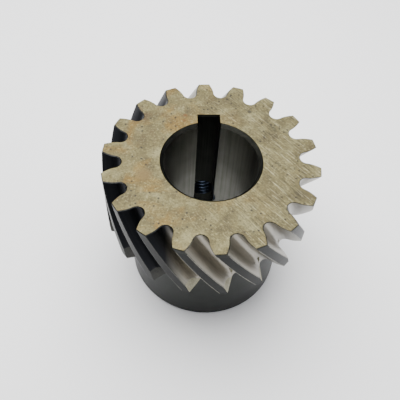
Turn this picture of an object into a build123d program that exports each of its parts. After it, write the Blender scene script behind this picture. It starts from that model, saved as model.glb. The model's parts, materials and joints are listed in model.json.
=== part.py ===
from build123d import *
import os
from math import acos, atan, atan2, cos, degrees, hypot, pi, radians, sin, tan

# One-piece helical gear: a toothed rim with a plain round hub below it, a keyed bore and a tapped
# hole through the hub for a set screw.  It is turned as one blank, then hobbed, broached and tapped.
#
# The gear stands on the end of its hub.  The origin is on the axis of the bore in that end face,
# +Z runs up the bore to the toothed end, and the keyway is on the +Y side.

# ---------------------------------------------------------------- sizes, in millimetres or degrees
TEETH = 18
MODULE = IN / 8                     # in the normal plane, for an 8-pitch hob
HELIX_ANGLE = 30                    # left-hand, at the pitch circle
PRESSURE_ANGLE = 14.5               # in the normal plane
ADDENDUM = 1.0 * MODULE
DEDENDUM = 1.1 * MODULE
TOOTH_THICKNESS = 5.22              # in the normal plane, on the pitch circle
TOOTH_OFFSET = 1.3                  # from the keyway round to the nearest tooth, at the toothed end

FACE_WIDTH = 1.0 * IN
HUB_DIAMETER = 2.25 * IN
HUB_LENGTH = 1.25 * IN
HUB_CHAMFER = 1 / 32 * IN
TIP_CHAMFER = 1 / 64 * IN
BORE_DIAMETER = 1.25 * IN
BORE_CHAMFER = 3 / 64 * IN

KEYWAY_WIDTH = 5 / 16 * IN
KEYWAY_DEPTH = 3 / 16 * IN          # from the wall of the bore to the floor of the keyway

SCREW_DIAMETER = 3 / 8 * IN         # outside the thread of the set screw
SCREW_HEIGHT = 15.4                 # above the end of the hub

# ---------------------------------------------------------------- worked out from those sizes
TRANSVERSE_MODULE = MODULE / cos(radians(HELIX_ANGLE))
TRANSVERSE_ANGLE = atan(tan(radians(PRESSURE_ANGLE)) / cos(radians(HELIX_ANGLE)))
PITCH_RADIUS = TEETH * TRANSVERSE_MODULE / 2
BASE_RADIUS = PITCH_RADIUS * cos(TRANSVERSE_ANGLE)
TIP_RADIUS = PITCH_RADIUS + ADDENDUM
HUB_RADIUS = HUB_DIAMETER / 2
BORE_RADIUS = BORE_DIAMETER / 2
OVERALL_LENGTH = HUB_LENGTH + FACE_WIDTH
TURN_PER_MM = degrees(tan(radians(HELIX_ANGLE)) / PITCH_RADIUS)
HOB_HALF_TOOTH = (pi * TRANSVERSE_MODULE - TOOTH_THICKNESS / cos(radians(HELIX_ANGLE))) / 2
CLEAR = 1.0                         # how far a cutter runs out of the metal


def polar(radius, angle):
    return (radius * cos(angle), radius * sin(angle))


def half_gap(radius):
    """Half the angle between two facing flanks, which are involutes of the base circle."""
    pressure = acos(min(1.0, BASE_RADIUS / radius))
    spread = tan(pressure) - pressure
    spread_at_pitch = tan(TRANSVERSE_ANGLE) - TRANSVERSE_ANGLE
    return HOB_HALF_TOOTH / PITCH_RADIUS + spread - spread_at_pitch


def foot_curve(steps):
    """Radius and angle along the curve that the round tip of a hob tooth leaves below a flank.

    The tip is one round from flank to flank of the hob tooth, and its centre lies `depth` below the
    hob's pitch line.  As the pitch line rolls on the gear's pitch circle, the round touches the foot
    on the line from its centre to the pitch point, which leans over as the gear turns.  The curve
    ends where it meets the flank.
    """
    slope = tan(TRANSVERSE_ANGLE)
    tip_round = (HOB_HALF_TOOTH - DEDENDUM * slope) / (1 / cos(TRANSVERSE_ANGLE) - slope)
    depth = DEDENDUM - tip_round

    def foot_point(lean):
        roll = depth * tan(lean)
        x = PITCH_RADIUS - depth - tip_round * cos(lean)
        y = roll + tip_round * sin(lean)
        return hypot(x, y), atan2(y, x) - roll / PITCH_RADIUS

    low, high = 0.0, pi / 2 - TRANSVERSE_ANGLE
    for _ in range(40):
        middle = (low + high) / 2
        radius, angle = foot_point(middle)
        if radius < BASE_RADIUS or angle > half_gap(radius):
            low = middle
        else:
            high = middle
    return [foot_point(high * i / steps) for i in range(steps + 1)]


def tooth_gap(flats=4):
    """The flat outline of the gap between two teeth, opening along +X.

    The foot is laid out in narrow flats, as the separate cuts of a hob leave it.  An arc through
    three points of the involute, and within 0.05 mm of it all along, makes each flank.
    """
    half_foot = foot_curve(flats)
    foot = [(radius, -angle) for radius, angle in reversed(half_foot)] + half_foot[1:]
    edges = []
    for start, end in zip(foot, foot[1:]):
        edges.append(Edge.make_line(polar(*start), polar(*end)))
    outer_radius = TIP_RADIUS + CLEAR
    middle_radius = (half_foot[-1][0] + outer_radius) / 2
    for side in (-1, 1):
        flank = [polar(half_foot[-1][0], side * half_foot[-1][1])]
        flank += [polar(radius, side * half_gap(radius)) for radius in (middle_radius, outer_radius)]
        edges.append(Edge.make_three_point_arc(*flank))
    outer = [polar(outer_radius, side * half_gap(outer_radius)) for side in (-1, 0, 1)]
    edges.append(Edge.make_three_point_arc(*outer))
    return Face(Wire(edges))


def hob_cut():
    """What a hob takes out of the blank for one gap: its outline, turned left-handed going up."""
    bottom = HUB_LENGTH - CLEAR
    height = FACE_WIDTH + 2 * CLEAR
    top_angle = 90 + TOOTH_OFFSET + 180 / TEETH
    bottom_angle = top_angle + (FACE_WIDTH + CLEAR) * TURN_PER_MM
    outline = Pos(0, 0, bottom) * Rot(0, 0, bottom_angle) * tooth_gap()
    return Solid.extrude_linear_with_rotation(
        outline, (0, 0, bottom), (0, 0, height), -height * TURN_PER_MM
    )


def turned_blank():
    """Rim, hub and bore in one turning, with all their chamfers."""
    profile = Polyline(
        (BORE_RADIUS + BORE_CHAMFER, 0),
        (HUB_RADIUS - HUB_CHAMFER, 0),
        (HUB_RADIUS, HUB_CHAMFER),
        (HUB_RADIUS, HUB_LENGTH),
        (TIP_RADIUS - TIP_CHAMFER, HUB_LENGTH),
        (TIP_RADIUS, HUB_LENGTH + TIP_CHAMFER),
        (TIP_RADIUS, OVERALL_LENGTH),
        (BORE_RADIUS + BORE_CHAMFER, OVERALL_LENGTH),
        (BORE_RADIUS, OVERALL_LENGTH - BORE_CHAMFER),
        (BORE_RADIUS, BORE_CHAMFER),
        close=True,
    )
    return revolve(Plane.XZ * make_face(profile), Axis.Z)


def helical_gear():
    blank = turned_blank()
    gap = hob_cut()
    gaps = [Rot(0, 0, 360 / TEETH * i) * gap for i in range(TEETH)]
    toothed = blank - gaps
    keyway = Pos(0, BORE_RADIUS + KEYWAY_DEPTH, -CLEAR) * Box(
        KEYWAY_WIDTH,
        BORE_RADIUS + KEYWAY_DEPTH,
        OVERALL_LENGTH + 2 * CLEAR,
        align=(Align.CENTER, Align.MAX, Align.MIN),
    )
    screw_hole = Pos(0, BORE_RADIUS / 2, SCREW_HEIGHT) * Rot(-90, 0, 0) * Cylinder(
        SCREW_DIAMETER / 2, HUB_RADIUS, align=(Align.CENTER, Align.CENTER, Align.MIN)
    )
    return toothed - keyway - screw_hole


os.makedirs("parts", exist_ok=True)
gear = helical_gear()
print("tip", TIP_RADIUS, "pitch", PITCH_RADIUS, "base", BASE_RADIUS, "root", PITCH_RADIUS - DEDENDUM)
print("volume", gear.volume, "solids", len(gear.solids()), "faces", len(gear.faces()))
export_step(gear, "parts/helical_gear.step")
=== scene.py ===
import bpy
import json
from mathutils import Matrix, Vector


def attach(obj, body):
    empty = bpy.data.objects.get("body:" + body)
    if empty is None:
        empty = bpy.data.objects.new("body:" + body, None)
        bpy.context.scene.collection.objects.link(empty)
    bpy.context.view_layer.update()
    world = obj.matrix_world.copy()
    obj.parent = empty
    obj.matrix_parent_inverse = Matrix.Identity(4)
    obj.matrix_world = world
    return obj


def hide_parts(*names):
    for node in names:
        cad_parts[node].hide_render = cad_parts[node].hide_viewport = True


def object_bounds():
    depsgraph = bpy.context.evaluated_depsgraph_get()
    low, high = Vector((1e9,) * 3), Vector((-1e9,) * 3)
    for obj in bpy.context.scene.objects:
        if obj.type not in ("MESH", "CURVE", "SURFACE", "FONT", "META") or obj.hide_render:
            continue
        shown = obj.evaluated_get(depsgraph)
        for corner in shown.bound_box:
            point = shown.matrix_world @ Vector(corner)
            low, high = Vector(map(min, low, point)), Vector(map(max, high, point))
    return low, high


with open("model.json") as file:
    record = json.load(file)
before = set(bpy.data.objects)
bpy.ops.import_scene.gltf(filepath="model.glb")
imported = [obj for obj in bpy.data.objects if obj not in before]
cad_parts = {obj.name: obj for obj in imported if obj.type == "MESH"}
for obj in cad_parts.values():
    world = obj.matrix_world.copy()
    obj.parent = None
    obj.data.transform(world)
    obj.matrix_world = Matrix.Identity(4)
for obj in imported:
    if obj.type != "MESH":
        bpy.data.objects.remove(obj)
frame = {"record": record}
cad_low, cad_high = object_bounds()
print("CAD box", tuple(cad_low), tuple(cad_high))

# %% [markdown]
# The object is a one-piece helical gear: a rim with 18 left-hand involute teeth standing on a plain
# round hub, with a keyed bore through both and a set-screw hole through the wall of the hub.
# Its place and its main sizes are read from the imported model, so the look can't drift away from
# the solid.  What the model doesn't state, such as the pitch of the teeth, is given here in mm.

# %% Sizes
import json
from math import atan, cos, pi, radians, sin, tan

import bmesh
import bpy
import numpy as np
from mathutils import Matrix, Vector

MM = 0.001
MOUNTS = {m["name"]: m for m in frame["record"]["mounts"]}
TIP_RADIUS = (cad_high.x - cad_low.x) / 2 / MM
TOP = cad_high.z / MM
BORE_RADIUS = MOUNTS["bore"]["dims"]["r_mm"]
SCREW_RADIUS = MOUNTS["set_screw"]["dims"]["r_mm"]
SCREW_HEIGHT = MOUNTS["set_screw"]["pos_m"][2] / MM

TEETH = 18
MODULE = 25.4 / 8
HELIX = radians(30)
PRESSURE = radians(14.5)
ROOT_DEPTH = 1.1 * MODULE
TOOTH_THICKNESS = 5.22
TOOTH_OFFSET = radians(1.3)
RIM_BOTTOM = TOP - 25.4
HUB_RADIUS = 28.575
HUB_CHAMFER = 0.8
BORE_CHAMFER = 1.19
KEY_HALF = 3.97
KEY_FLOOR = BORE_RADIUS + 4.76
EDGE = 0.22                      # how far each sharp edge is broken

PITCH_RADIUS = TIP_RADIUS - MODULE
TURN_PER_MM = tan(HELIX) / PITCH_RADIUS
print("tip radius", round(TIP_RADIUS, 2), "top", round(TOP, 2), "pitch radius", round(PITCH_RADIUS, 2))

# %% [markdown]
# A tooth is cut by a hob, whose straight-sided teeth roll along the gear.  The flank it leaves is an
# involute, the path of the end of a string unwound from the base circle, and its round tip leaves
# the curve at the foot.  Both are worked out here as whole arrays, because each formula then gives
# every point of the curve at once.

# %% The outline of the teeth
SIDE_ANGLE = atan(tan(PRESSURE) / cos(HELIX))
BASE_RADIUS = PITCH_RADIUS * cos(SIDE_ANGLE)
HALF_SPACE = (2 * pi * PITCH_RADIUS / TEETH - TOOTH_THICKNESS / cos(HELIX)) / 2


def half_gap(radius):
    """Half the angle of a gap: the half space at the pitch circle, plus tan(a) - a, less the same
    at the pitch circle, where cos(a) is the base radius over the radius."""
    lean = np.arccos(np.minimum(1.0, BASE_RADIUS / radius))
    return HALF_SPACE / PITCH_RADIUS + (np.tan(lean) - lean) - (tan(SIDE_ANGLE) - SIDE_ANGLE)


def foot(lean):
    """The foot of a gap: the round tip of the hob touches it on the line from its own centre to the
    pitch point, and that line leans over by `lean` as the gear rolls."""
    slope = tan(SIDE_ANGLE)
    tip = (HALF_SPACE - ROOT_DEPTH * slope) / (1 / cos(SIDE_ANGLE) - slope)
    depth = ROOT_DEPTH - tip
    roll = depth * np.tan(lean)
    x = PITCH_RADIUS - depth - tip * np.cos(lean)
    y = roll + tip * np.sin(lean)
    return np.hypot(x, y), np.arctan2(y, x) - roll / PITCH_RADIUS


def half_tooth_space(foot_points=8, flank_points=9, land_points=3):
    """Radius and angle from the middle of a gap to the middle of the next land.  The last step of the
    flank and the first of the land are short, so that the worn edge between them can be told apart."""
    lean = np.linspace(0, pi / 2 - SIDE_ANGLE, 400)
    radius, angle = foot(lean)
    free = (radius < BASE_RADIUS) | (angle > half_gap(radius))
    foot_radius, foot_angle = foot(np.linspace(0, lean[free][-1], foot_points))
    flank_radius = np.linspace(foot_radius[-1], TIP_RADIUS - EDGE, flank_points)[1:]
    flank_radius = np.append(flank_radius, TIP_RADIUS)
    flank_angle = half_gap(flank_radius)
    land_angle = np.linspace(flank_angle[-1] + EDGE / TIP_RADIUS, pi / TEETH, land_points)
    return (
        np.concatenate([foot_radius, flank_radius, np.full(land_points, TIP_RADIUS)]),
        np.concatenate([foot_angle, flank_angle, land_angle]),
    )


def tooth_outline():
    """The whole outline: one gap is half a gap and its mirror image, and the gap repeats."""
    radius, angle = half_tooth_space()
    gap_radius = np.concatenate([radius[:0:-1], radius])[:-1]
    gap_angle = np.concatenate([-angle[:0:-1], angle])[:-1]
    turn = 2 * pi / TEETH * np.arange(TEETH)
    return np.tile(gap_radius, TEETH), (gap_angle[None, :] + turn[:, None]).ravel()


OUTLINE_RADIUS, OUTLINE_ANGLE = tooth_outline()
OUTLINE_ANGLE = OUTLINE_ANGLE + pi / 2 + TOOTH_OFFSET + pi / TEETH
print("points round the teeth", len(OUTLINE_RADIUS), "root radius", round(OUTLINE_RADIUS.min(), 2))

# %% [markdown]
# The gear has a hole through it, so its surface is a ring bent round on itself, like a doughnut.
# It can therefore be made as one closed grid: every row is a loop round the axis, and the rows run
# up the bore, out across the toothed end, down the teeth and the hub, and back across the hub's end.


# %% Loops round the axis
def circle_loop(radius, height):
    """A plain circle, with its points at the same angles as the teeth have at the top."""
    return np.stack([radius * np.cos(OUTLINE_ANGLE), radius * np.sin(OUTLINE_ANGLE),
                     np.full_like(OUTLINE_ANGLE, height)], axis=1)


def bore_loop(radius, height):
    """The bore with its keyway: an arc, a side wall, the floor and the other side wall.  Four points
    are held at the corners and the rest are spread along the outline between them."""
    half, floor = KEY_HALF, KEY_FLOOR
    corner = np.arcsin(half / radius)
    edge = np.sqrt(radius**2 - half**2)
    along = np.cumsum([0, floor - edge, 2 * half, floor - edge, (2 * pi - 2 * corner) * radius])
    angle = (OUTLINE_ANGLE - (pi / 2 - corner)) % (2 * pi)
    order = np.argsort(angle)
    steps = np.searchsorted(angle[order], [0, 0.42 * corner, 1.58 * corner, 2 * corner])
    held = np.concatenate([steps, [len(order)]])
    place = np.interp(np.arange(len(order)), held, along)
    turned = pi / 2 + corner + (place - along[3]) / radius
    x = np.interp(place, along[:4], [half, half, -half, -half])
    y = np.interp(place, along[:4], [edge, floor, floor, edge])
    on_arc = place >= along[3]
    x = np.where(on_arc, radius * np.cos(turned), x)
    y = np.where(on_arc, radius * np.sin(turned), y)
    loop = np.empty((len(order), 3))
    loop[order] = np.stack([x, y, np.full_like(x, height)], axis=1)
    return loop


def tooth_loop(height, inset=0.0):
    """The outline of the teeth at one height: turned left-handed as it climbs, and drawn in by
    `inset` along its own normal."""
    angle = OUTLINE_ANGLE + (TOP - height) * TURN_PER_MM
    x, y = OUTLINE_RADIUS * np.cos(angle), OUTLINE_RADIUS * np.sin(angle)
    along_x, along_y = np.roll(x, -1) - np.roll(x, 1), np.roll(y, -1) - np.roll(y, 1)
    size = np.hypot(along_x, along_y)
    x, y = x - inset * along_y / size, y + inset * along_x / size
    return np.stack([x, y, np.full_like(x, height)], axis=1)


def between(first, last, count):
    """`count` loops spaced evenly from one loop to another, without the first."""
    step = np.linspace(0, 1, count + 1)[1:, None, None]
    return list(first + (last - first) * step)


# %% [markdown]
# Each band between two rows is one surface made by one tool, so its finish can be settled while the
# rows are listed.  On the teeth the finish changes across the tooth instead: the tip was turned, the
# flanks were hobbed, and the edge between them is worn bright.

# %% Rows of the grid, and the finish that each band of rows gets
BORE_STEPS, END_STEPS, TOOTH_ROWS, HUB_ROWS, UNDER_STEPS = 10, 4, 36, 12, 3
SAME = 0.01                      # radii closer than this, in mm, are the same radius
FINISHES = ["ground_steel", "hobbed_steel", "turned_rim", "worn_edge", "blackened_hub",
            "broached_bore", "bore_chamfer", "shadowed_keyway", "filed_facet", "tapped_thread"]


def gear_rows():
    """All the loops in order, and beside each the finish of the band that starts at it."""
    rows, finish = [], []

    def take(loops, name):
        rows.extend(loops)
        finish.extend([name] * len(loops))

    take([bore_loop(BORE_RADIUS + BORE_CHAMFER, 0.0)], "bore_chamfer")
    wall = bore_loop(BORE_RADIUS, BORE_CHAMFER)
    take([wall], "broached_bore")
    take(between(wall, bore_loop(BORE_RADIUS, TOP - BORE_CHAMFER), BORE_STEPS), "broached_bore")
    finish[-1] = "bore_chamfer"
    mouth = bore_loop(BORE_RADIUS + BORE_CHAMFER, TOP)
    take([mouth], "ground_steel")
    take(between(mouth, tooth_loop(TOP, EDGE), END_STEPS), "ground_steel")
    finish[-1] = "worn_edge"
    heights = np.linspace(TOP - EDGE, RIM_BOTTOM + EDGE, TOOTH_ROWS)
    take([tooth_loop(z) for z in heights], "teeth")
    finish[-1] = "worn_edge"
    take([tooth_loop(RIM_BOTTOM, EDGE)], "blackened_hub")
    turn = (TOP - RIM_BOTTOM) * TURN_PER_MM
    heights = np.linspace(RIM_BOTTOM, HUB_CHAMFER, HUB_ROWS)
    for height, left in zip(heights, np.linspace(1, 0, HUB_ROWS)):
        c, s = cos(turn * left), sin(turn * left)
        loop = circle_loop(HUB_RADIUS, height) @ np.array([[c, s, 0], [-s, c, 0], [0, 0, 1]])
        take([loop], "blackened_hub")
    take([circle_loop(HUB_RADIUS - HUB_CHAMFER, 0.0)], "ground_steel")
    take(between(rows[-1], rows[0], UNDER_STEPS)[:-1], "ground_steel")
    return np.array(rows), finish


def finish_numbers(finish):
    """The finish of every face: its row's, but on the teeth it follows the column across the tooth.
    A column's inner radius says whether it lies on the land, on the worn edge or on the flank."""
    inner = np.minimum(OUTLINE_RADIUS, np.roll(OUTLINE_RADIUS, -1))
    on_land = inner > TIP_RADIUS - SAME
    column = np.where(on_land, FINISHES.index("turned_rim"), FINISHES.index("hobbed_steel"))
    column[(inner > TIP_RADIUS - EDGE - SAME) & ~on_land] = FINISHES.index("worn_edge")
    step = np.abs((np.roll(OUTLINE_ANGLE, -1) - OUTLINE_ANGLE) % (2 * pi))
    column[on_land & (step < 1.3 * EDGE / TIP_RADIUS)] = FINISHES.index("worn_edge")
    numbers = np.empty((len(finish), len(column)), dtype=np.int32)
    for row, name in enumerate(finish):
        numbers[row] = column if name == "teeth" else FINISHES.index(name)
    first = finish.index("teeth")
    # Painted shade: the first two rows of the lands under the toothed end get the near-black keyway finish, a
    # dark line standing in for shade.
    numbers[first:first + 2, on_land] = FINISHES.index("shadowed_keyway")   # a dark line under the end
    return numbers


# %% [markdown]
# Each square of the grid joins a point to its neighbours in the row and in the next row, and the last
# of each joins the first.  The UV map holds real millimetres, so that the hob's marks can run along
# the slanting teeth, which a pattern laid straight through space can't do.


# %% The gear's surface as one closed grid
def closed_grid(name, rows, numbers, measured):
    """A mesh from rows of points, closed both along the rows and from the last row to the first.  Its
    UV map holds millimetres: round the outline, as measured on one row, and along the rows."""
    row_count, point_count = rows.shape[:2]
    index = np.arange(row_count * point_count).reshape(row_count, point_count)
    right, down = np.roll(index, -1, axis=1), np.roll(index, -1, axis=0)
    quads = np.stack([index, down, np.roll(right, -1, axis=0), right], axis=-1).reshape(-1, 4)
    mesh = bpy.data.meshes.new(name)
    mesh.from_pydata((rows.reshape(-1, 3) * MM).tolist(), [], quads.tolist())
    mesh.polygons.foreach_set("material_index", numbers.ravel())
    round_step = np.linalg.norm(rows[measured] - np.roll(rows[measured], -1, axis=0), axis=1)
    row_step = np.linalg.norm(np.roll(rows, -1, axis=0) - rows, axis=2).mean(axis=1)
    u = np.concatenate([[0], np.cumsum(round_step)])
    v = np.concatenate([[0], np.cumsum(row_step)])
    i, j = np.meshgrid(np.arange(row_count), np.arange(point_count), indexing="ij")
    uv = np.stack([np.stack([u[j], v[i]], -1), np.stack([u[j], v[i + 1]], -1),
                   np.stack([u[j + 1], v[i + 1]], -1), np.stack([u[j + 1], v[i]], -1)], axis=2)
    mesh.uv_layers.new(name="surface_mm").data.foreach_set("uv", uv.astype(np.float32).ravel())
    piece = bpy.data.objects.new(name, mesh)
    bpy.context.scene.collection.objects.link(piece)
    return piece


rows, finish = gear_rows()
gear = closed_grid("gear_body", rows, finish_numbers(finish), measured=finish.index("teeth") + 1)
print("gear_body", len(gear.data.vertices), "points", len(gear.data.polygons), "faces")

# %% [markdown]
# The lower end of each tooth comes to a sharp point on one side, because the tooth leans.  On the real
# gear that point has been filed off, which leaves a bright flat that is narrow at the foot and wide at
# the tip.  Such a flat is one plane through three places on the tooth, so it is cut off with a wedge.


# %% Wedges that file the sharp corners off
FACET_FOOT_RADIUS = 30.4         # where the flat runs out at the foot of the tooth
FACET_FOOT_TURN = radians(3.45)  # how far round that is from the middle of the gap
LAND_END = 0.5                   # how high up the land's lower end the flat begins
PAST_TIP, ABOVE, WEDGE_LENGTH = 3, 4, 14
WEDGE_DEPTH = [3.4, 0.5, 0.5, 3.4]   # thick at the tip and thin at the foot, to clear the next tooth


def on_gear(radius, angle, height):
    """The point at a radius, an angle and a height."""
    return np.array([radius * cos(angle), radius * sin(angle), height])


def corner_wedge(tooth, up_tip=4.2, across=0.36, up_foot=0.5):
    """Eight corners of a wedge whose near side is the plane through A on the edge of the tip, B on the
    land's lower end and C at the foot, and whose far side lies clear of the metal."""
    middle = pi / 2 + TOOTH_OFFSET + (2 * tooth + 1) * pi / TEETH
    gap = float(half_gap(TIP_RADIUS))
    at = lambda height: middle + (TOP - height) * TURN_PER_MM
    low = RIM_BOTTOM
    a = on_gear(TIP_RADIUS, at(low + up_tip) - gap, low + up_tip)
    b = on_gear(TIP_RADIUS, at(low) - gap - across * 2 * (pi / TEETH - gap), low + LAND_END)
    c = on_gear(FACET_FOOT_RADIUS, at(low + up_foot) - FACET_FOOT_TURN, low + up_foot)
    corner = on_gear(TIP_RADIUS, at(low) - gap, low)
    out = np.cross(b - a, c - a)
    out *= np.sign(out @ (corner - a)) / np.linalg.norm(out)
    inward = (c - a) / np.linalg.norm(c - a)
    below = np.cross(out, inward)
    below *= np.sign(below @ (b - a))
    tip_top, foot_top = a - PAST_TIP * inward - ABOVE * below, c - ABOVE * below
    near = [tip_top, foot_top, foot_top + WEDGE_LENGTH * below, tip_top + WEDGE_LENGTH * below]
    return near + [p + d * out for p, d in zip(near, WEDGE_DEPTH)], out, (corner - a) @ out


def signed_volume(mesh):
    """Volume in mm3 by the sum of (corner x corner x corner) / 6: below nought if the faces point in."""
    mesh.calc_loop_triangles()
    points = np.array([v.co[:] for v in mesh.vertices]) / MM
    corner = points[np.array([t.vertices[:] for t in mesh.loop_triangles])]
    triple = np.einsum("ij,ij->i", corner[:, 0], np.cross(corner[:, 1], corner[:, 2]))
    return round(float(triple.sum() / 6), 2)


CORNERS = [(0, 1, 2, 3), (7, 6, 5, 4), (0, 4, 5, 1), (1, 5, 6, 2), (2, 6, 7, 3), (3, 7, 4, 0)]
wedge_points, wedge_faces = [], []
for tooth in range(TEETH):
    points, out, bite = corner_wedge(tooth)
    wedge_faces += [tuple(8 * tooth + k for k in face) for face in CORNERS]
    wedge_points += points
    if tooth == 8:
        print("facet normal", out.round(2), "bite", round(float(bite), 2))
wedge_mesh = bpy.data.meshes.new("wedges")
wedge_mesh.from_pydata((np.array(wedge_points) * MM).tolist(), [], wedge_faces)
if signed_volume(wedge_mesh) < 0:
    wedge_mesh.flip_normals()
print("wedges", signed_volume(wedge_mesh), "gear", signed_volume(gear.data))

# %% [markdown]
# The set screw's hole is tapped.  A tap leaves a groove that climbs one pitch each turn, so the tool
# that is cut away here has a radius that goes from the thread's crest to its root and back as the
# height, less the share of a turn, goes through one pitch.

# %% A threaded cutter for the set screw's hole
PITCH = 25.4 / 16                # 16 threads to the inch
THREAD_FROM, THREAD_TO = 12.6, 30.4   # from inside the bore to clear of the hub
CREST_IN, GROOVE_DEPTH = 0.86, 0.84
turns = np.linspace(0, 1, 48, endpoint=False)
depth_in = np.arange(THREAD_FROM, THREAD_TO, PITCH / 8)
wave = (depth_in[:, None] / PITCH - turns[None, :]) % 1.0
groove = np.clip(1.25 - 2.5 * np.abs(wave - 0.5), 0, 1)
screw_radius = SCREW_RADIUS - CREST_IN + GROOVE_DEPTH * groove
thread = np.stack([screw_radius * np.cos(2 * pi * turns),
                   np.broadcast_to(depth_in[:, None], wave.shape),
                   SCREW_HEIGHT + screw_radius * np.sin(2 * pi * turns)], axis=-1)
grid = np.arange(wave.size).reshape(wave.shape)
thread_faces = np.stack([grid[:-1], grid[1:], np.roll(grid, -1, 1)[1:], np.roll(grid, -1, 1)[:-1]], -1)
ends = [tuple(grid[0].tolist()), tuple(grid[-1][::-1].tolist())]
thread_mesh = bpy.data.meshes.new("thread")
sides = thread_faces.reshape(-1, 4).tolist()
thread_mesh.from_pydata((thread.reshape(-1, 3) * MM).tolist(), [], sides + ends)
print("thread", len(depth_in), "rows of", len(turns), "volume above nought:", signed_volume(thread_mesh))

# %% [markdown]
# A finish is named for how its surface was made: ground, hobbed, turned, broached, blackened, filed.
# All are the same steel, so they differ in how rough they are, in how dark a coat of oxide and oil
# they carry, in how much painted shade they hold, and in which way the tool's marks run.


# %% Colour and node helpers
def linear(hex_colour):
    """sRGB hex to linear RGBA."""
    value = np.array([int(hex_colour[i:i + 2], 16) for i in (1, 3, 5)]) / 255
    value = np.where(value <= 0.04045, value / 12.92, ((value + 0.055) / 1.055) ** 2.4)
    return (*value.tolist(), 1.0)


def add(tree, kind, settings, links=None, stops=None):
    """One node: its settings by property or socket, its inputs linked, and a ramp's stops."""
    node = tree.nodes.new(kind)
    for key, value in settings.items():
        if isinstance(key, int) or key in node.inputs:
            node.inputs[key].default_value = value
        else:
            setattr(node, key, value)
    for key, source in (links or {}).items():
        tree.links.new(source, node.inputs[key])
    for number, (place, colour) in enumerate(stops or []):
        element = node.color_ramp.elements[number] if number < 2 else node.color_ramp.elements.new(place)
        element.position, element.color = place, colour
    return node


def steel(name, colour, roughness, metallic=1.0):
    """A metal with one colour and one roughness to start from."""
    material = bpy.data.materials.new(name)
    material.use_nodes = True
    shader = material.node_tree.nodes["Principled BSDF"]
    shader.inputs["Base Color"].default_value = linear(colour)
    shader.inputs["Roughness"].default_value = roughness
    shader.inputs["Metallic"].default_value = metallic
    return material, material.node_tree, shader


def marked(name, dark, light, roughness, lines, strength, metallic=1.0, source="Object", spread=0.07,
           painted_left_shade=0.0):
    """Steel with tool marks: noise stretched along `lines`, which holds how many marks there are to a
    millimetre in each direction, moves the colour from dark to light, the roughness and the height.
    The last argument is how far its colour goes to dark blue on the -X side: painted shade that stands in for
    the dark room mirrored there."""
    material, tree, shader = steel(name, dark, roughness, metallic)
    place = add(tree, "ShaderNodeTexCoord", {})
    scale = (1000, 1000, 1000) if source == "Object" else (1, 1, 1)
    size = [a * b for a, b in zip(scale, lines)]
    mapped = add(tree, "ShaderNodeMapping", {"Scale": size}, {"Vector": place.outputs[source]})
    marks = add(tree, "ShaderNodeTexNoise", {"Scale": 1.0, "Detail": 4.0, "Roughness": 0.6},
                {"Vector": mapped.outputs["Vector"]})
    blotch = add(tree, "ShaderNodeTexNoise", {"Scale": 140.0, "Detail": 3.0},
                 {"Vector": place.outputs["Object"]})
    both = add(tree, "ShaderNodeMath", {"operation": "MULTIPLY_ADD", 1: 0.5},
               {0: blotch.outputs["Fac"], 2: marks.outputs["Fac"]})
    ramp = add(tree, "ShaderNodeValToRGB", {}, {"Fac": both.outputs["Value"]},
               [(0.55, linear(dark)), (0.98, linear(light))])
    axes = add(tree, "ShaderNodeSeparateXYZ", {}, {"Vector": place.outputs["Object"]})
    # Painted shade: towards -X the colour is mixed with dark blue #12161f, standing in for the dark room that
    # the flanks mirror on that side.
    left_shade = add(tree, "ShaderNodeMapRange", {"From Min": -0.0095, "From Max": -0.0155, "To Max": painted_left_shade},
               {"Value": axes.outputs["X"]})
    coloured = add(tree, "ShaderNodeMix", {"data_type": "RGBA", 7: linear("#12161f")},
                   {0: left_shade.outputs["Result"], 6: ramp.outputs["Color"]})
    tree.links.new(coloured.outputs[2], shader.inputs["Base Color"])
    rough = add(tree, "ShaderNodeMapRange", {"To Min": roughness - spread, "To Max": roughness + spread},
                {"Value": marks.outputs["Fac"]})
    tree.links.new(rough.outputs["Result"], shader.inputs["Roughness"])
    bump = add(tree, "ShaderNodeBump", {"Strength": strength, "Distance": 0.0001},
               {"Height": marks.outputs["Fac"]})
    tree.links.new(bump.outputs["Normal"], shader.inputs["Normal"])
    return material


# %% [markdown]
# The toothed end was ground flat.  Steel that has lain in a damp store goes from grey to khaki there,
# in soft patches a few millimetres wide, with ochre stains, fine scratches all one way and small dark
# pits.  Each of these is a pattern of its own size, laid over the last.


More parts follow.
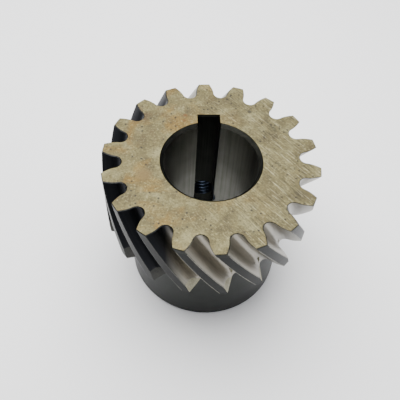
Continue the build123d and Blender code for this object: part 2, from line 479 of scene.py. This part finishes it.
# %% Ground steel
def ground_steel():
    material, tree, shader = steel("ground_steel", "#6c6645", 0.6, 0.45)
    place = add(tree, "ShaderNodeTexCoord", {}).outputs["Object"]
    mm = add(tree, "ShaderNodeMapping", {"Scale": (1000, 1000, 1000)}, {"Vector": place}).outputs["Vector"]
    axes = add(tree, "ShaderNodeSeparateXYZ", {}, {"Vector": mm})
    patch = add(tree, "ShaderNodeTexNoise", {"Scale": 0.16, "Detail": 6.0, "Roughness": 0.62}, {"Vector": mm})
    colour = add(tree, "ShaderNodeValToRGB", {}, {"Fac": patch.outputs["Fac"]},
                 [(0.32, linear("#433a1f")), (0.68, linear("#746e4b")), (0.5, linear("#5c5431"))])
    colour = colour.outputs["Color"]

    def lay(amount, over, how="MIX"):
        nonlocal colour
        mix = add(tree, "ShaderNodeMix", {"data_type": "RGBA", "blend_type": how, 7: linear(over)},
                  {0: amount, 6: colour})
        colour = mix.outputs[2]

    def share(value, low, high, most):
        return add(tree, "ShaderNodeMapRange", {"From Min": low, "From Max": high, "To Max": most},
                   {"Value": value}).outputs["Result"]

    def product(first, second):
        return add(tree, "ShaderNodeMath", {"operation": "MULTIPLY"}, {0: first, 1: second}).outputs["Value"]

    stain = add(tree, "ShaderNodeTexNoise", {"Scale": 0.09, "Detail": 5.0, "Distortion": 0.6}, {"Vector": mm})
    stained = share(stain.outputs["Fac"], 0.5, 0.64, 0.8)
    lay(product(stained, share(axes.outputs["X"], 20, -12, 1.0)), "#6a521a")
    rust = add(tree, "ShaderNodeTexNoise", {"Scale": 0.3, "Detail": 5.0}, {"Vector": mm})
    up_left = product(share(axes.outputs["X"], 2, -22, 1.0), share(axes.outputs["Y"], 0, 18, 1.0))
    lay(product(share(rust.outputs["Fac"], 0.48, 0.66, 0.8), up_left), "#45351a")
    turned = add(tree, "ShaderNodeMapping", {"Rotation": (0, 0, radians(50))}, {"Vector": mm})
    drawn = add(tree, "ShaderNodeMapping", {"Scale": (0.16, 2.6, 1.0)}, {"Vector": turned.outputs["Vector"]})
    lines = add(tree, "ShaderNodeTexNoise", {"Scale": 1.0, "Detail": 3.0, "Roughness": 0.7},
                {"Vector": drawn.outputs["Vector"]})
    side = share(axes.outputs["X"], -12, 22, 0.85)
    lay(product(share(lines.outputs["Fac"], 0.52, 0.62, 1.0), side), "#2b2817")
    lay(product(share(lines.outputs["Fac"], 0.42, 0.3, 1.0), side), "#9c9778")
    grain = add(tree, "ShaderNodeTexNoise", {"Scale": 1.5, "Detail": 4.0, "Roughness": 0.7}, {"Vector": mm})
    lay(share(grain.outputs["Fac"], 0.52, 0.74, 0.85), "#2d2812")
    lay(share(grain.outputs["Fac"], 0.45, 0.28, 0.75), "#8b855f")
    pits = add(tree, "ShaderNodeTexVoronoi", {"Scale": 0.7}, {"Vector": mm})
    few = add(tree, "ShaderNodeSeparateColor", {}, {"Color": pits.outputs["Color"]})
    pit = share(pits.outputs["Distance"], 0.34, 0.14, 0.9)
    lay(product(pit, share(few.outputs["Red"], 0.7, 0.8, 1.0)), "#17120a")
    for spot, size, tint in (((-8.2, 20.2, TOP), 0.8, "#553508"), ((-8.6, 17.8, TOP), 0.65, "#553508"),
                             ((14.6, 22.0, TOP), 0.7, "#15140e"), ((-22, -6, TOP), 2.6, "#5f4c26")):
        far = add(tree, "ShaderNodeVectorMath", {"operation": "DISTANCE", 1: spot}, {0: mm})
        lay(share(far.outputs["Value"], size * 1.3, size * 0.5, 0.75), tint)
    tree.links.new(colour, shader.inputs["Base Color"])
    bump = add(tree, "ShaderNodeBump", {"Strength": 0.35, "Distance": 0.00008},
               {"Height": grain.outputs["Fac"]})
    tree.links.new(bump.outputs["Normal"], shader.inputs["Normal"])
    print("ground_steel", len(tree.nodes), "nodes")
    return material


# %% [markdown]
# The other finishes are one recipe with other numbers.  Three of the numbers say how many tool marks
# there are to a millimetre along X, Y and Z (or along the UV map), so a small number draws the marks
# out into lines that way.  On the -X side the teeth are darkened towards dark blue: painted shade for
# the dark room that their flanks mirror there.

# %% The other finishes
finishes = {
    # Steel flat-ground and left in a damp store: matt khaki with stains and fine scratches.
    "ground_steel": ground_steel(),
    # Bare steel from the hob: smooth and grey, with faint lines along the tooth; painted shade darkens it to
    # dark blue on the -X side.
    "hobbed_steel": marked("hobbed_steel", "#817e74", "#958f84", 0.36, (1.6, 0.05, 1.0), 0.04,
                           source="UV", painted_left_shade=0.94),
    # Turned steel under mill oxide: nearly black, with lines round the axis.
    "turned_rim": marked("turned_rim", "#0c0d0c", "#161715", 0.44, (0.3, 0.3, 4.0), 0.12),
    # Steel rubbed bare where it is handled: a thin pale line along each edge; painted shade darkens it to
    # dark blue on the -X side.
    "worn_edge": marked("worn_edge", "#504f4a", "#858378", 0.4, (1.0, 1.0, 1.0), 0.2, painted_left_shade=0.8),
    # Turned steel, blackened and oiled: dark grey with a broad soft shine.
    "blackened_hub": marked("blackened_hub", "#202220", "#2c2e2b", 0.46, (0.3, 0.3, 3.0), 0.12),
    # Steel from a broach: streaks that run straight up the bore.
    "broached_bore": marked("broached_bore", "#73736c", "#90908a", 0.33, (1.3, 1.3, 0.03), 0.18),
    # Turned steel that holds oil: a dark ring at each mouth of the bore.
    "bore_chamfer": marked("bore_chamfer", "#2f302c", "#4a4a43", 0.4, (0.4, 0.4, 4.0), 0.2),
    # Painted shade: near-black and without shine, in the recess of the keyway and on the tips just under the
    # toothed end.
    "shadowed_keyway": marked("shadowed_keyway", "#151714", "#262824", 0.45, (2.0, 2.0, 0.05), 0.2),
    # Steel left rough by a coarse file: pale, matt and speckled; painted shade darkens it to dark blue on the
    # -X side.
    "filed_facet": marked("filed_facet", "#85816a", "#bab59b", 0.6, (1.8, 1.8, 1.8), 0.6, 0.4, painted_left_shade=0.9),
    # Steel cut by a tap: dark blue, painted shade and painted reflection for the shade in the hole and the
    # bluish light its walls mirror; the crests catch the light.
    "tapped_thread": marked("tapped_thread", "#1c2028", "#3b4454", 0.4, (1.5, 1.5, 1.5), 0.2),
}
for name in FINISHES:
    gear.data.materials.append(finishes[name])
print("finishes on the gear", len(gear.data.materials))

# %% [markdown]
# The wedges and the threaded tool are taken away with exact Boolean cuts, which give each new face the
# finish of the tool that made it.  The cuts leave points that nearly coincide, so these are merged.
# A few edges at the corners of the keyway's mouths still don't have two faces: the chamfer's rows and
# the wall's rows put the keyway's corners in different columns, which folds the faces between them.


# %% Cut the facets and the threaded hole, and keep the result as one plain mesh
NEAR = 2e-6                      # points closer than this, in m, become one
SHARP = radians(27)              # edges that turn more than this stay crisp


def cut(piece, mesh, finish):
    """Take the mesh away from the piece, and give the new faces the finish."""
    tool = bpy.data.objects.new("cutter", mesh)
    mesh.materials.append(finishes[finish])
    bpy.context.scene.collection.objects.link(tool)
    saw = piece.modifiers.new("cut", "BOOLEAN")
    saw.operation, saw.solver, saw.object = "DIFFERENCE", "EXACT", tool
    saw.material_mode = "TRANSFER"
    shape = piece.evaluated_get(bpy.context.evaluated_depsgraph_get())
    result = bpy.data.meshes.new_from_object(shape)
    piece.modifiers.clear()
    piece.data = result
    bpy.data.objects.remove(tool)
    print("after the", finish, "cut:", len(result.polygons), "faces")


cut(gear, wedge_mesh, "filed_facet")
cut(gear, thread_mesh, "tapped_thread")
joined = bmesh.new()
joined.from_mesh(gear.data)
bmesh.ops.remove_doubles(joined, verts=joined.verts, dist=NEAR)
bmesh.ops.dissolve_degenerate(joined, edges=joined.edges, dist=NEAR)
print("edges without two faces", sum(len(e.link_faces) != 2 for e in joined.edges))
joined.to_mesh(gear.data)
joined.free()
gear.data.shade_smooth()
gear.data.set_sharp_from_angle(angle=SHARP)

# %% [markdown]
# The keyway is part of the bore's rows, so it has the bore's finish so far.  Its faces are the ones
# that lie between its side walls and off the circle of the bore, and they get the near-black painted shade of
# the recess.

# %% The keyway's painted shade, and what the gear stands for
WALL_SLACK, OFF_CIRCLE = 0.05, 0.6
keyway = FINISHES.index("shadowed_keyway")
wall = FINISHES.index("broached_bore")
middle = np.array([p.center[:] for p in gear.data.polygons]) / MM
number = np.array([p.material_index for p in gear.data.polygons])
between_walls = np.abs(middle[:, 0]) < KEY_HALF + WALL_SLACK
in_slot = between_walls & (middle[:, 1] > BORE_RADIUS - OFF_CIRCLE)
number[(number == wall) & in_slot] = keyway
gear.data.polygons.foreach_set("material_index", number.astype(np.int32))
print("finishes", [m.name for m in gear.data.materials], np.bincount(number))

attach(gear, "root")
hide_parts("helical_gear")

# %% [markdown]
# A small steel part is best shown under one large soft box overhead.  The polished flanks then mirror
# the pale floor where they lean outwards and the dark room where they face it, which is what gives
# steel its look: smooth runs from light to dark, not one grey.

# %% Floor, light and camera
floor_mesh = bpy.data.meshes.new("floor")
floor_mesh.from_pydata([(-3, -3, 0), (3, -3, 0), (3, 3, 0), (-3, 3, 0)], [], [(0, 1, 2, 3)])
floor = bpy.data.objects.new("floor", floor_mesh)
bpy.context.scene.collection.objects.link(floor)
floor.data.materials.append(steel("pale_paper", "#f4f4f4", 0.9, 0.0)[0])

world = bpy.data.worlds.new("studio")
bpy.context.scene.world = world
world.use_nodes = True
world.node_tree.nodes["Background"].inputs["Color"].default_value = linear("#8090b4")
world.node_tree.nodes["Background"].inputs["Strength"].default_value = 0.12


def soft_box(name, place, size, watts, aim=(0, 0, 0.04)):
    """A square lamp turned to face the gear."""
    light = bpy.data.lights.new(name, "AREA")
    light.shape, light.size, light.energy = "SQUARE", size, watts
    lamp = bpy.data.objects.new(name, light)
    lamp.location = place
    lamp.rotation_euler = (Vector(aim) - Vector(place)).to_track_quat("-Z", "Y").to_euler()
    bpy.context.scene.collection.objects.link(lamp)


soft_box("overhead", (-0.03, 0.1, 0.46), 0.62, 9.6)

camera_data = bpy.data.cameras.new("camera")
camera_data.sensor_width, camera_data.lens = 36, 48.77
camera_data.shift_x, camera_data.shift_y = 0.001, 0.0385
camera_data.clip_start = 0.01
camera = bpy.data.objects.new("camera", camera_data)
bpy.context.scene.collection.objects.link(camera)
camera.location = Vector((-14.06, -115.47, 192.93)) * MM
aim = Vector((-4.81, -22.14, 57.15)) * MM
look = (aim - camera.location).to_track_quat("-Z", "Y")
camera.rotation_mode = "QUATERNION"
camera.rotation_quaternion = look @ Matrix.Rotation(radians(4.19), 4, "Z").to_quaternion()
bpy.context.scene.camera = camera
print("camera at", tuple(round(v / MM, 1) for v in camera.location), "mm, lens", camera_data.lens)
